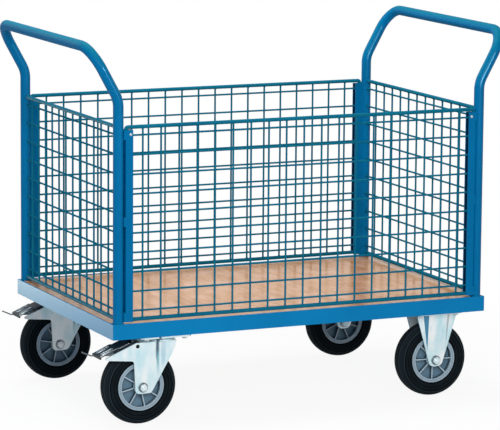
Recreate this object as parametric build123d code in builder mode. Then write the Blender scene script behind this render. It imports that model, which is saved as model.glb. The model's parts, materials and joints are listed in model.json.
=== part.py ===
import os
from math import atan2, cos, floor, radians, sin, sqrt, tan

from build123d import *

os.makedirs("parts", exist_ok=True)

# Overall sizes, millimetres, floor at z = 0, length along x, width along y
frame_length = 1066.0
frame_width = 700.0
frame_depth = 40.0
angle_thickness = 4.0
deck_thickness = 17.0
deck_drop = 1.0
deck_gap = 1.0
bearer_width = 24.0
bearer_wall = 2.0
bearer_gap = 3.5

# Fits
touch = 0.05
running = 0.05
swivel_gap = 0.3
bolt_play = 0.2

# Wire mesh
mesh_pitch = 50.0
wire_radius = 2.5
rail_radius = 5.0
rail_lift = 10.0
first_wire = 21.4
cross_wires = 10
hook_drop = 7.0
hook_bend = 6.8
hook_gap = 0.3

# Push hoops
tube_radius = 13.5
tube_wall = 2.0
leg_inset_x = 19.5
leg_inset_y = 14.5
bend_above = 69.2
bar_climb = 133.0
bar_lean = 73.5
bend_radius = 70.0
corner_radius = 65.0
foot_length = 29.0
foot_width = 25.0

# Corner posts of the long walls, channels open towards the mesh
wall_inset = 9.0
post_gap = 2.0
post_width = 20.0
post_sheet = 3.0
post_depth = 20.0
lug_height = 24.0
lug_depth = 10.0
screw_radius = 2.0
screw_head = 4.0
screw_edge = 7.0
screw_drop = 11.0

# Wheels
wheel_radius = 100.0
tyre_width = 50.0
rim_radius = 63.0
rim_ring = 9.0
hub_half = 30.0
boss_radius = 19.0
hub_ribs = 8
rib_sheet = 3.0
axle_radius = 6.0
washer_radius = 12.8
nut_radius = 10.0

# Castors
castor_rise = 32.0
trail = 60.0
fork_play = 1.0
fork_sheet = 4.0
plate_length = 140.0
swivel_plate_width = 100.0
fixed_plate_width = 110.0
plate_thickness = 5.0
plate_corner = 10.0
bolt_edge_x = 17.5
bolt_edge_y = 10.0
bolt_radius = 4.0
bolt_head = 7.3
swivel_setback = 9.0
fixed_setback = 22.0
swivel_margin = 40.0
bed_margin = 14.0
race_radius = 40.0
race_depth = 5.7
lower_race = 4.0
crown_sheet = 5.0
crown_reach = 34.0
king_radius = 8.0
king_nut = 9.0
groove_width = 27.0
groove_depth = 3.4
fixed_left = 58.0
fixed_right = 62.0
fixed_foot = 17.0
panel_half = 27.0
panel_base = 41.0
panel_foot = 27.5
panel_rise = 9.0
panel_lift = 26.0

# Brake pedal
pivot_back = 15.0
pivot_drop = 9.0
pin_radius = 3.0
nose_reach = 104.0
nose_drop = 35.0
pedal_low = 12.4
pedal_sheet = 3.0
pedal_step = 50.0
pedal_tip = 101.0
pedal_play = 3.0
rod_radius = 1.75

castor_height = 2 * wheel_radius + castor_rise
frame_top = castor_height + frame_depth
flange_top = castor_height + angle_thickness
deck_top = frame_top - deck_drop
deck_bottom = deck_top - deck_thickness
half_length = frame_length / 2
half_width = frame_width / 2
flange_end = half_length - frame_depth
flange_edge = half_width - frame_depth
low_rail = frame_top + rail_lift
low_wire = low_rail + first_wire
top_wire = low_wire + (cross_wires - 1) * mesh_pitch
top_rail = top_wire + first_wire
leg_x = half_length - leg_inset_x
leg_y = half_width - leg_inset_y
bend_z = top_rail + bend_above
bar_z = bend_z + bar_climb
bar_x = leg_x + bar_lean
wall_y = half_width - wall_inset
post_outer = leg_x - tube_radius - post_gap
post_inner = post_outer - post_width
fork_inner = hub_half + fork_play
fork_outer = fork_inner + fork_sheet
plate_bottom = castor_height - plate_thickness
bolt_x = plate_length / 2 - bolt_edge_x
swivel_bolt_y = swivel_plate_width / 2 - bolt_edge_y
fixed_bolt_y = fixed_plate_width / 2 - bolt_edge_y
swivel_x = swivel_margin + plate_length / 2 - flange_end
swivel_y = half_width - angle_thickness - swivel_setback - swivel_bolt_y
fixed_x = flange_end - plate_length / 2 - bed_margin
fixed_y = half_width - angle_thickness - fixed_setback - fixed_bolt_y
axle_x = swivel_x - trail
race_top = plate_bottom - race_depth - swivel_gap
crown_top = race_top - lower_race
crown_bottom = crown_top - crown_sheet
pivot_x = axle_x - pivot_back
pivot_z = crown_top - pivot_drop


def save(solid, name):
    solid.label = name
    export_step(solid, f"parts/{name}.step")


def side_plane(y):
    return Plane(origin=(0, y, 0), x_dir=(1, 0, 0), z_dir=(0, -1, 0))


def rounded_path(points, radii, closed=False):
    # Straight runs joined by tangent arcs, one radius per corner
    count = len(points)
    corners = [Vector(*p) for p in points]
    starts = []
    ends = []
    mids = []
    for i, corner in enumerate(corners):
        radius = radii[i]
        if radius == 0:
            starts.append(corner)
            ends.append(corner)
            mids.append(None)
            continue
        before = (corners[i - 1] - corner).normalized()
        after = (corners[(i + 1) % count] - corner).normalized()
        half = radians(before.get_angle(after)) / 2
        reach = radius / tan(half)
        middle = (before + after).normalized()
        starts.append(corner + before * reach)
        ends.append(corner + after * reach)
        mids.append(corner + middle * (radius / sin(half) - radius))
    last = count if closed else count - 1
    for i in range(count):
        if mids[i] is not None:
            ThreePointArc(starts[i], mids[i], ends[i])
        if i < last:
            Line(ends[i], starts[(i + 1) % count])


def castor_bolt_spots(centre_x, centre_y):
    bolt_y = swivel_bolt_y if centre_x == swivel_x else fixed_bolt_y
    return [(centre_x + i * bolt_x, centre_y + j * bolt_y) for i in (-1, 1) for j in (-1, 1)]


castor_centres = [(swivel_x, swivel_y), (swivel_x, -swivel_y), (fixed_x, fixed_y), (fixed_x, -fixed_y)]
bolt_spots = [spot for centre in castor_centres for spot in castor_bolt_spots(*centre)]

# Angle-steel frame, four mitred rails
for side, name in ((-1, "frame_front_rail"), (1, "frame_back_rail")):
    outer = side * half_width
    with BuildPart() as long_rail:
        with BuildSketch(Plane.XY.offset(castor_height)):
            with BuildLine():
                inner_x = flange_end
                inner_y = side * flange_edge
                mitre = [(-half_length, outer), (half_length, outer), (inner_x, inner_y), (-inner_x, inner_y)]
                Polyline(*mitre, close=True)
            make_face()
            with Locations(*[s for s in bolt_spots if s[1] * side > flange_edge]):
                Circle(bolt_radius + bolt_play, mode=Mode.SUBTRACT)
        extrude(amount=angle_thickness)
        with BuildSketch(Plane.XY.offset(castor_height)):
            with BuildLine():
                inner_x = half_length - angle_thickness
                inner_y = side * (half_width - angle_thickness)
                mitre = [(-half_length, outer), (half_length, outer), (inner_x, inner_y), (-inner_x, inner_y)]
                Polyline(*mitre, close=True)
            make_face()
        extrude(amount=frame_depth)
    save(long_rail.part, name)

for side, name in ((-1, "frame_left_rail"), (1, "frame_right_rail")):
    outer = side * half_length
    with BuildPart() as end_rail:
        with BuildSketch(Plane.XY.offset(castor_height)):
            with BuildLine():
                inner_x = side * flange_end
                inner_y = flange_edge
                mitre = [(outer, -half_width), (outer, half_width), (inner_x, inner_y), (inner_x, -inner_y)]
                Polyline(*mitre, close=True)
            make_face()
        extrude(amount=angle_thickness)
        with BuildSketch(Plane.XY.offset(castor_height)):
            with BuildLine():
                inner_x = side * (half_length - angle_thickness)
                inner_y = half_width - angle_thickness
                mitre = [(outer, -half_width), (outer, half_width), (inner_x, inner_y), (inner_x, -inner_y)]
                Polyline(*mitre, close=True)
            make_face()
        extrude(amount=frame_depth)
    save(end_rail.part, name)

# Flat beds between the flanges, carrying the castors
bed_width = plate_length + 2 * (bed_margin - touch)
for centre_x, name in ((swivel_x, "left_castor_bed"), (fixed_x, "right_castor_bed")):
    bed_spots = [s for s in bolt_spots if abs(s[1]) < flange_edge and abs(s[0] - centre_x) < bed_width]
    with BuildPart() as bed:
        with BuildSketch(Plane.XY.offset(castor_height)):
            with Locations((centre_x, 0)):
                Rectangle(bed_width, 2 * (flange_edge - touch))
            with Locations(*bed_spots):
                Circle(bolt_radius + bolt_play, mode=Mode.SUBTRACT)
        extrude(amount=angle_thickness)
    save(bed.part, name)

# Hollow cross bearers under the deck, clear of the hoop feet
foot_x = half_length - angle_thickness - touch
foot_y = half_width - angle_thickness - touch
bearer_height = deck_bottom - flange_top
bearer_half = half_width - angle_thickness - deck_gap
last_bearer = foot_x - foot_length - bearer_gap - bearer_width / 2
with BuildPart() as bearers:
    with BuildSketch(Plane.XZ.offset(-bearer_half)):
        with Locations(*[(i * last_bearer / 2, flange_top + bearer_height / 2) for i in range(-2, 3)]):
            Rectangle(bearer_width, bearer_height)
            Rectangle(bearer_width - 2 * bearer_wall, bearer_height - 2 * bearer_wall, mode=Mode.SUBTRACT)
    extrude(amount=2 * bearer_half)
save(bearers.part, "deck_bearers")

# Square feet of the hoops stand in the notched deck corners
corners = [(i, j) for i in (-1, 1) for j in (-1, 1)]

with BuildPart() as deck:
    with BuildSketch(Plane.XY.offset(deck_bottom)):
        edge_x = half_length - angle_thickness - deck_gap
        edge_y = half_width - angle_thickness - deck_gap
        RectangleRounded(2 * edge_x, 2 * edge_y, 2)
        with Locations(*[(i * foot_x, j * foot_y) for i, j in corners]):
            Rectangle(2 * (foot_length + deck_gap), 2 * (foot_width + deck_gap), mode=Mode.SUBTRACT)
    extrude(amount=deck_thickness)
    chamfer(deck.faces().sort_by(Axis.Z)[-1].edges(), 0.6)
save(deck.part, "deck")

# Bent tube hoops, legs on the frame edge, push bar leaning outward
for side, name in ((-1, "left_hoop"), (1, "right_hoop")):
    foot = (side * leg_x, -leg_y, frame_top)
    with BuildPart() as hoop:
        with BuildLine():
            rounded_path(
                [
                    foot,
                    (side * leg_x, -leg_y, bend_z),
                    (side * bar_x, -leg_y, bar_z),
                    (side * bar_x, leg_y, bar_z),
                    (side * leg_x, leg_y, bend_z),
                    (side * leg_x, leg_y, frame_top),
                ],
                [0, bend_radius, corner_radius, corner_radius, bend_radius, 0],
            )
        with BuildSketch(Plane(origin=foot, z_dir=(0, 0, 1))):
            Circle(tube_radius)
            Circle(tube_radius - tube_wall, mode=Mode.SUBTRACT)
        sweep()
        with BuildSketch(Plane.XY.offset(flange_top + touch)):
            foot_mid = foot_y - foot_width / 2
            with Locations(*[(side * (foot_x - foot_length / 2), j * foot_mid) for j in (-1, 1)]):
                Rectangle(foot_length, foot_width)
        extrude(amount=frame_top - flange_top - touch)
    save(hoop.part, name)

# End walls: rails and wires between the hoop legs
end_reach = leg_y - tube_radius - touch
wire_low = low_rail + rail_radius + touch
wire_high = top_rail - rail_radius - touch
layer = wire_radius + touch / 2
heights = [low_wire + i * mesh_pitch for i in range(cross_wires)]
end_half = floor((end_reach - wire_radius) / mesh_pitch + 0.5)
long_half = floor((post_inner - wire_radius) / mesh_pitch)
end_spots = [(i + 0.5) * mesh_pitch for i in range(-end_half, end_half)]
long_spots = [i * mesh_pitch for i in range(-long_half, long_half + 1)]

for side, word in ((-1, "left"), (1, "right")):
    with BuildPart() as end_rails:
        with BuildSketch(Plane.XZ.offset(-end_reach)):
            with Locations((side * leg_x, low_rail), (side * leg_x, top_rail)):
                Circle(rail_radius)
        extrude(amount=2 * end_reach)
    save(end_rails.part, f"{word}_end_rails")
    with BuildPart() as end_mesh:
        with BuildSketch(Plane.XY.offset(wire_low)):
            with Locations(*[(side * (leg_x + layer), y) for y in end_spots]):
                Circle(wire_radius)
        extrude(amount=wire_high - wire_low)
        with BuildSketch(Plane.XZ.offset(-end_reach)):
            with Locations(*[(side * (leg_x - layer), z) for z in heights]):
                Circle(wire_radius)
        extrude(amount=2 * end_reach)
    save(end_mesh.part, f"{word}_end_mesh")

# Long walls: rails, wires and channel posts
post_low = frame_top + rail_lift - rail_radius
hook_z = top_rail - hook_drop
post_high = hook_z - touch
post_back = wall_y + rail_radius + touch
post_face = post_back + post_sheet
long_reach = post_outer - post_sheet - touch
hook_x = leg_x - sqrt((tube_radius + rail_radius + hook_gap) ** 2 - (wall_y - leg_y) ** 2)
lug_end = leg_x - 0.78 * tube_radius
lug_width = lug_end - post_outer + 1
lug_mid = lug_end - lug_width / 2
lug_spots = [post_low, (post_low + post_high) / 2, post_high - lug_height]
post_mid = (post_inner + post_outer) / 2
screw_x = post_inner + screw_edge
screw_z = post_high - screw_drop

for side, word in ((-1, "front"), (1, "back")):
    plane_y = side * wall_y
    with BuildPart() as long_top:
        with BuildLine():
            rounded_path(
                [
                    (-hook_x, plane_y, hook_z),
                    (-hook_x, plane_y, top_rail),
                    (hook_x, plane_y, top_rail),
                    (hook_x, plane_y, hook_z),
                ],
                [0, hook_bend, hook_bend, 0],
            )
        with BuildSketch(Plane(origin=(-hook_x, plane_y, hook_z), z_dir=(0, 0, 1))):
            Circle(rail_radius)
        sweep()
    save(long_top.part, f"{word}_top_rail")
    with BuildPart() as long_low:
        with BuildSketch(Plane.YZ.offset(-long_reach)):
            with Locations((plane_y, low_rail)):
                Circle(rail_radius)
        extrude(amount=2 * long_reach)
    save(long_low.part, f"{word}_bottom_rail")
    with BuildPart() as long_mesh:
        with BuildSketch(Plane.XY.offset(wire_low)):
            with Locations(*[(x, side * (wall_y + layer)) for x in long_spots]):
                Circle(wire_radius)
        extrude(amount=wire_high - wire_low)
        with BuildSketch(Plane.YZ.offset(-long_reach)):
            with Locations(*[(side * (wall_y - layer), z) for z in heights]):
                Circle(wire_radius)
        extrude(amount=2 * long_reach)
    save(long_mesh.part, f"{word}_mesh")
    for end, hand in ((-1, "left"), (1, "right")):
        with BuildPart() as post:
            with BuildSketch(Plane.XY.offset(post_low)):
                with Locations((end * post_mid, side * (post_face - post_depth / 2))):
                    Rectangle(post_width, post_depth)
                with Locations((end * (post_mid - post_sheet), side * (post_face - post_depth / 2))):
                    Rectangle(post_width, post_depth - 2 * post_sheet, mode=Mode.SUBTRACT)
                with Locations((end * lug_mid, side * (post_face - post_depth + post_sheet / 2))):
                    Rectangle(lug_width, post_sheet)
                with Locations((end * leg_x, side * leg_y)):
                    Circle(tube_radius + touch, mode=Mode.SUBTRACT)
            extrude(amount=post_high - post_low)
            for z in lug_spots:
                with BuildSketch(Plane.XY.offset(z)):
                    with Locations((end * lug_mid, side * (post_face - lug_depth / 2))):
                        Rectangle(lug_width, lug_depth)
                    with Locations((end * leg_x, side * leg_y)):
                        Circle(tube_radius + touch, mode=Mode.SUBTRACT)
                extrude(amount=lug_height)
            with BuildSketch(side_plane(side * (post_face + 1))):
                with Locations((end * screw_x, screw_z)):
                    Circle(screw_radius + bolt_play)
            extrude(amount=side * (post_sheet + 2), mode=Mode.SUBTRACT)
        save(post.part, f"{word}_{hand}_post")

# Button-head screws at the top of the four posts
with BuildPart() as screws:
    for side in (-1, 1):
        for end in (-1, 1):
            with BuildSketch(side_plane(side * (post_face + touch))):
                with Locations((end * screw_x, screw_z)):
                    Circle(screw_head)
            extrude(amount=-side * screw_radius, taper=25)
            with BuildSketch(side_plane(side * (post_face + touch))):
                with Locations((end * screw_x, screw_z)):
                    Circle(screw_radius)
            extrude(amount=side * (post_sheet + 1.5))
save(screws.part, "post_screws")

# Castor bolts with head below the plate and nut above the flange
head_height = 5.3
nut_height = 6.5
with BuildPart() as bolts:
    with BuildSketch(Plane.XY.offset(plate_bottom - touch - head_height)):
        with Locations(*bolt_spots):
            RegularPolygon(bolt_head, 6)
    extrude(amount=head_height)
    with BuildSketch(Plane.XY.offset(plate_bottom - touch)):
        with Locations(*bolt_spots):
            Circle(bolt_radius)
    extrude(amount=plate_thickness + angle_thickness + nut_height + 2.5)
    with BuildSketch(Plane.XY.offset(flange_top + touch)):
        with Locations(*bolt_spots):
            RegularPolygon(bolt_head, 6)
    extrude(amount=nut_height)
save(bolts.part, "castor_bolts")


# Swivel castor: plate with king pin, pressed fork with nose, brake pedal
def swivel_plate(y):
    nut_low = crown_bottom - swivel_gap - king_nut
    with BuildPart() as plate:
        with BuildSketch(Plane.XY.offset(plate_bottom)):
            with Locations((swivel_x, y)):
                RectangleRounded(plate_length, swivel_plate_width, plate_corner)
            with Locations(*castor_bolt_spots(swivel_x, y)):
                Circle(bolt_radius + bolt_play, mode=Mode.SUBTRACT)
        extrude(amount=plate_thickness)
        with Locations((swivel_x, y, plate_bottom)):
            Cone(0.9 * race_radius, race_radius, race_depth, align=(Align.CENTER, Align.CENTER, Align.MAX))
            Cylinder(king_radius, plate_bottom - nut_low + 2, align=(Align.CENTER, Align.CENTER, Align.MAX))
        with BuildSketch(Plane.XY.offset(nut_low)):
            with Locations((swivel_x, y)):
                RegularPolygon(1.6 * king_radius, 6)
        extrude(amount=king_nut)
    return plate.part


nose_tip_x = axle_x - nose_reach
nose_tip_z = crown_top - nose_drop
nose_root_x = pivot_x - 3.0
nose_angle = atan2(crown_top - nose_tip_z, nose_root_x - nose_tip_x)
crown_front = swivel_x + crown_reach
leg_low = wheel_radius - 16.0
swivel_outline = [
    (nose_root_x, crown_top),
    (nose_tip_x, nose_tip_z),
    (nose_tip_x + 4, nose_tip_z - 5),
    (axle_x - 25, crown_top - 47),
    (axle_x - 20, leg_low),
    (axle_x + 23, leg_low),
    (crown_front - 12, crown_top - 31),
    (crown_front, crown_top),
]
groove_right = swivel_x + 2.0
groove_left = groove_right - groove_width
groove_levels = [(crown_top, 1.0), (crown_top - 40, 1.0), (crown_top - 76, 0.06)]


def groove_section(z, share, face, inward, wider):
    # Cross-section of the pressed groove at height z, steep on its left flank, gentle on its right one
    middle = groove_left + 0.55 * groove_width
    left = middle + (groove_left - wider - middle) * (0.4 + 0.6 * share)
    right = middle + (groove_right + wider - middle) * (0.4 + 0.6 * share)
    floor_left = left + 0.15 * groove_width
    floor_right = right - 0.4 * groove_width * (0.4 + 0.6 * share)
    sunk = face + inward * groove_depth * share
    with BuildSketch(Plane.XY.offset(z)) as section:
        with BuildLine():
            Polyline(
                (left, face - inward),
                (left, face),
                (floor_left, sunk),
                (floor_right, sunk),
                (right, face),
                (right, face - inward),
                close=True,
            )
        make_face()
    return section.sketch.face()


def swivel_fork(y):
    with BuildPart() as fork:
        for hand in (-1, 1):
            with BuildSketch(side_plane(y + hand * fork_inner)):
                with BuildLine():
                    rounded_path(swivel_outline, [8, 3, 3, 7, 10, 12, 20, 8], closed=True)
                make_face()
                with Locations((axle_x, wheel_radius)):
                    Circle(axle_radius + running, mode=Mode.SUBTRACT)
                with Locations((pivot_x, pivot_z)):
                    Circle(pin_radius + running, mode=Mode.SUBTRACT)
            extrude(amount=-hand * fork_sheet)
            for (high, more), (low, less) in zip(groove_levels, groove_levels[1:]):
                back_high = groove_section(high, more, y + hand * fork_inner, -hand, 1)
                back_low = groove_section(low, less, y + hand * fork_inner, -hand, 1)
                loft([back_high, back_low])
                face_high = groove_section(high, more, y + hand * fork_outer, -hand, 0)
                face_low = groove_section(low, less, y + hand * fork_outer, -hand, 0)
                loft([face_high, face_low], mode=Mode.SUBTRACT)
        with BuildSketch(Plane.XY.offset(crown_bottom)):
            with Locations(((axle_x - 3 + crown_front) / 2, y)):
                Rectangle(crown_front - axle_x + 3, 2 * fork_inner)
        extrude(amount=crown_top - crown_bottom)
        with BuildSketch(Plane.XY.offset(crown_top)):
            with Locations((swivel_x, y)):
                Circle(race_radius)
        extrude(amount=race_top - crown_top)
        with Locations((swivel_x, y, race_top)):
            Hole(king_radius + running, race_top - crown_bottom + 1)
    return fork.part


def pedal_plane(y):
    return Plane(
        origin=(pivot_x, y, pivot_z),
        x_dir=(-cos(nose_angle), 0, -sin(nose_angle)),
        z_dir=(0, 1, 0),
    )


pedal_half = fork_inner - pedal_play
pedal_top = pedal_low + 2.5
rod_offset = 0.76 * pedal_half


def brake_pedal(y):
    with BuildPart() as pedal:
        with BuildSketch(pedal_plane(y)):
            with BuildLine():
                Polyline(
                    (13, pedal_low),
                    (pedal_step - 4, pedal_low),
                    (pedal_step, pedal_top),
                    (pedal_tip - 3, pedal_top),
                    (pedal_tip - 1, pedal_low - 1.5),
                    (pedal_tip + 2, pedal_low - 1.5),
                    (pedal_tip, pedal_top + pedal_sheet),
                    (pedal_step - 1, pedal_top + pedal_sheet),
                    (pedal_step - 5, pedal_low + pedal_sheet),
                    (13, pedal_low + pedal_sheet),
                    close=True,
                )
            make_face()
        extrude(amount=pedal_half, both=True)
        slot_middle = ((pedal_step + pedal_tip) / 2, pedal_top + pedal_sheet + 1, 0)
        slot_plane = Plane(
            origin=pedal_plane(y).from_local_coords(slot_middle),
            x_dir=(-cos(nose_angle), 0, -sin(nose_angle)),
            z_dir=(-sin(nose_angle), 0, cos(nose_angle)),
        )
        with BuildSketch(slot_plane):
            with Locations((0, -pedal_half / 2), (0, pedal_half / 2)):
                SlotOverall(36, 10)
        extrude(amount=-pedal_sheet - 2, mode=Mode.SUBTRACT)
        with BuildSketch(pedal_plane(y + rod_offset)):
            with Locations((pedal_tip, pedal_top - 3)):
                Rectangle(10, 6)
        extrude(amount=rod_radius + 0.5, both=True, mode=Mode.SUBTRACT)
        for hand in (-1, 1):
            with BuildSketch(pedal_plane(y + hand * (pedal_half - pedal_sheet))):
                with BuildLine():
                    rounded_path(
                        [
                            (-7, -7),
                            (-7, pedal_low - 1),
                            (13, pedal_low + 1),
                            (pedal_step - 6, pedal_low + 1),
                            (14, -7),
                        ],
                        [6.9, 5, 0, 0, 6],
                        closed=True,
                    )
                make_face()
                Circle(pin_radius + running, mode=Mode.SUBTRACT)
            extrude(amount=hand * pedal_sheet)
        with BuildSketch(pedal_plane(y)):
            with BuildLine():
                Polyline(
                    (pedal_step - 30, pedal_low + 1),
                    (pedal_step - 6, pedal_low + 1),
                    (pedal_step, -14),
                    (pedal_step - 26, -14),
                    close=True,
                )
            make_face()
        extrude(amount=0.4 * tyre_width, both=True)
        with BuildSketch(side_plane(y)):
            with Locations((axle_x, wheel_radius)):
                Circle(wheel_radius + 1)
        extrude(amount=fork_inner, both=True, mode=Mode.SUBTRACT)
    return pedal.part


def pedal_pin(y):
    with BuildPart() as pin:
        with BuildSketch(side_plane(y)):
            with Locations((pivot_x, pivot_z)):
                Circle(pin_radius)
        extrude(amount=fork_outer - 0.5, both=True)
    return pin.part


def pedal_rod(y):
    plane = pedal_plane(y + rod_offset)
    rod_low = pedal_top - rod_radius - touch
    start = plane.from_local_coords((pedal_step + 5, rod_low, 0))
    knee = plane.from_local_coords((pedal_tip + 5, rod_low, 0))
    tip = knee + Vector(-28, 0, 12.5)
    with BuildPart() as rod:
        with BuildLine():
            rounded_path([start, knee, tip], [0, 9, 0])
        with BuildSketch(Plane(origin=start, z_dir=knee - start)):
            Circle(rod_radius)
        sweep()
    return rod.part


# Fixed castor: plate and two tapering legs, each pressed outward towards its top
def fixed_fork(y):
    top = plate_bottom - fork_sheet
    low = wheel_radius + panel_lift
    with BuildPart() as fork:
        with BuildSketch(Plane.XY.offset(plate_bottom)):
            with Locations((fixed_x, y)):
                RectangleRounded(plate_length, fixed_plate_width, plate_corner)
            with Locations(*castor_bolt_spots(fixed_x, y)):
                Circle(bolt_radius + bolt_play, mode=Mode.SUBTRACT)
        extrude(amount=plate_thickness)
        with BuildSketch(Plane.XY.offset(top)):
            with Locations((fixed_x, y)):
                Rectangle(0.6 * plate_length, 2 * fork_outer)
        extrude(amount=fork_sheet)
        for hand in (-1, 1):
            with BuildSketch(side_plane(y + hand * fork_inner)):
                with BuildLine():
                    rounded_path(
                        [
                            (fixed_x - fixed_left, plate_bottom),
                            (fixed_x - fixed_foot, leg_low),
                            (fixed_x + fixed_foot, leg_low),
                            (fixed_x + fixed_right, plate_bottom),
                        ],
                        [0, 15, 15, 0],
                        closed=True,
                    )
                make_face()
                with Locations((fixed_x, wheel_radius)):
                    Circle(axle_radius + running, mode=Mode.SUBTRACT)
            extrude(amount=-hand * fork_sheet)
            back = y + hand * (fork_outer - 1)
            for z, base, rise in ((plate_bottom, panel_base, panel_rise), (low, panel_foot, 1)):
                with BuildSketch(Plane.XY.offset(z)):
                    with BuildLine():
                        Polyline(
                            (fixed_x + 1 - base, back),
                            (fixed_x + 1 - panel_half, back + hand * (1 + rise)),
                            (fixed_x + 1 + panel_half, back + hand * (1 + rise)),
                            (fixed_x + 1 + base, back),
                            close=True,
                        )
                    make_face()
            loft()
    return fork.part


# Wheel pieces shared by all four castors
def wheel_hub(x, y, turn):
    ring_inner = rim_radius - rim_ring
    with BuildPart() as hub:
        with BuildSketch(side_plane(y)):
            with Locations((x, wheel_radius)):
                Circle(boss_radius)
        extrude(amount=hub_half, both=True)
        with BuildSketch(side_plane(y)):
            with Locations((x, wheel_radius)):
                Circle(ring_inner + 2)
        extrude(amount=rib_sheet, both=True)
        with BuildSketch(side_plane(y)):
            with Locations((x, wheel_radius)):
                Circle(rim_radius - touch)
                Circle(ring_inner, mode=Mode.SUBTRACT)
        extrude(amount=tyre_width / 2 - 3, both=True)
        with BuildSketch(side_plane(y)):
            with Locations((x, wheel_radius)):
                with PolarLocations((boss_radius + ring_inner) / 2, hub_ribs, start_angle=turn):
                    Rectangle(ring_inner - boss_radius + 2, rib_sheet)
        extrude(amount=tyre_width / 3, both=True)
        with BuildSketch(side_plane(y)):
            with Locations((x, wheel_radius)):
                Circle(axle_radius + running)
        extrude(amount=hub_half + 1, both=True, mode=Mode.SUBTRACT)
    return hub.part


def wheel_tyre(x, y):
    half = tyre_width / 2
    seat = half - 3
    wall_low = wheel_radius + rim_radius + 7
    wall_high = 2 * wheel_radius - 16
    axis = Axis((x, y, wheel_radius), (0, 1, 0))
    with BuildPart() as tyre:
        with BuildSketch(Plane.YZ.offset(x)):
            with BuildLine():
                Line((y - seat, wheel_radius + rim_radius), (y + seat, wheel_radius + rim_radius))
                Line((y + seat, wheel_radius + rim_radius), (y + half, wall_low))
                Line((y + half, wall_low), (y + half, wall_high))
                ThreePointArc(
                    (y + half, wall_high),
                    (y + half - 4.5, wall_high + 10),
                    (y + half - 13, wall_high + 15),
                )
                ThreePointArc(
                    (y + half - 13, wall_high + 15),
                    (y, 2 * wheel_radius),
                    (y - half + 13, wall_high + 15),
                )
                ThreePointArc(
                    (y - half + 13, wall_high + 15),
                    (y - half + 4.5, wall_high + 10),
                    (y - half, wall_high),
                )
                Line((y - half, wall_high), (y - half, wall_low))
                Line((y - half, wall_low), (y - seat, wheel_radius + rim_radius))
            make_face()
        revolve(axis=axis)
    return tyre.part


def wheel_axle(x, y):
    seat = fork_outer + touch
    washer = 2.2
    nut = axle_radius + 0.5
    with BuildPart() as axle:
        with BuildSketch(side_plane(y)):
            with Locations((x, wheel_radius)):
                Circle(axle_radius)
        extrude(amount=seat + washer + nut + 2.5, both=True)
        for hand in (-1, 1):
            with BuildSketch(side_plane(y + hand * seat)):
                with Locations((x, wheel_radius)):
                    Circle(washer_radius)
            extrude(amount=-hand * washer)
            with BuildSketch(side_plane(y + hand * seat)):
                with Locations((x, wheel_radius)):
                    RegularPolygon(nut_radius, 6)
            extrude(amount=-hand * (washer + nut))
        chamfer(axle.faces().sort_by(Axis.Y)[0].edges(), 1.2)
        chamfer(axle.faces().sort_by(Axis.Y)[-1].edges(), 1.2)
    return axle.part


for y, word, turn in ((-swivel_y, "front_left", -32), (swivel_y, "back_left", -12)):
    save(swivel_plate(y), f"{word}_plate")
    save(swivel_fork(y), f"{word}_fork")
    save(brake_pedal(y), f"{word}_pedal")
    save(pedal_pin(y), f"{word}_pedal_pin")
    save(pedal_rod(y), f"{word}_pedal_rod")
    save(wheel_hub(axle_x, y, turn), f"{word}_hub")
    save(wheel_tyre(axle_x, y), f"{word}_tyre")
    save(wheel_axle(axle_x, y), f"{word}_axle")

for y, word, turn in ((-fixed_y, "front_right", -1), (fixed_y, "back_right", -20)):
    save(fixed_fork(y), f"{word}_fork")
    save(wheel_hub(fixed_x, y, turn), f"{word}_hub")
    save(wheel_tyre(fixed_x, y), f"{word}_tyre")
    save(wheel_axle(fixed_x, y), f"{word}_axle")
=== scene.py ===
import bmesh
import bpy
import json
import math
from mathutils import Matrix, Vector

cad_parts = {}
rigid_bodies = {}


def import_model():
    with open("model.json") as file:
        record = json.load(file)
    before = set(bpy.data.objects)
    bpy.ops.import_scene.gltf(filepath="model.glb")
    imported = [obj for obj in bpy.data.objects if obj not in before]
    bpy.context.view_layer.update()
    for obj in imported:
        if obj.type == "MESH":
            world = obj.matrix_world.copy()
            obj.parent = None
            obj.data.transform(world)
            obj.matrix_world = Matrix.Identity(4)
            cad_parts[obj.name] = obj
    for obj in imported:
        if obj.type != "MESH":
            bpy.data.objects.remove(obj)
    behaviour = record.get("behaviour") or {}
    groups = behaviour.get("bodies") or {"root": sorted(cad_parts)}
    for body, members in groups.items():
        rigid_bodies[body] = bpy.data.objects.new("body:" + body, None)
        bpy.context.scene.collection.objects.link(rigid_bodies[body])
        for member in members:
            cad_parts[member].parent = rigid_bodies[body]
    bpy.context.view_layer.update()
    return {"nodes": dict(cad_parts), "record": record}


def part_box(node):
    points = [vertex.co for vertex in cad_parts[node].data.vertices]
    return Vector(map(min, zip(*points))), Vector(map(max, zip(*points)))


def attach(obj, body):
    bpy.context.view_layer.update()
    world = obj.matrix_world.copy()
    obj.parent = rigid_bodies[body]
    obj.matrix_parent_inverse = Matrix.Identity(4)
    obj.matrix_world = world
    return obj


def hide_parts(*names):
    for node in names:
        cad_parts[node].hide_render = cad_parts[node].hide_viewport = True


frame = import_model()
nodes = frame["nodes"]
scene = bpy.context.scene
scene.view_settings.view_transform = "Standard"
print("frame loaded:", len(nodes), "nodes")


# small helpers
def hexColour(code):
    parts = [int(code[i:i + 2], 16) / 255 for i in (1, 3, 5)]
    linear = [p / 12.92 if p <= 0.04045 else ((p + 0.055) / 1.055) ** 2.4 for p in parts]
    return (*linear, 1.0)


def addNode(tree, kind, settings=None, links=None):
    node = tree.nodes.new(kind)
    for key, value in (settings or {}).items():
        if isinstance(key, int) or key in node.inputs:
            node.inputs[key].default_value = value
        else:
            setattr(node, key, value)
    for key, source in (links or {}).items():
        tree.links.new(source, node.inputs[key])
    return node


def newMaterial(name):
    material = bpy.data.materials.new(name)
    material.use_nodes = True
    material.node_tree.nodes.clear()
    return material, material.node_tree


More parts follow.
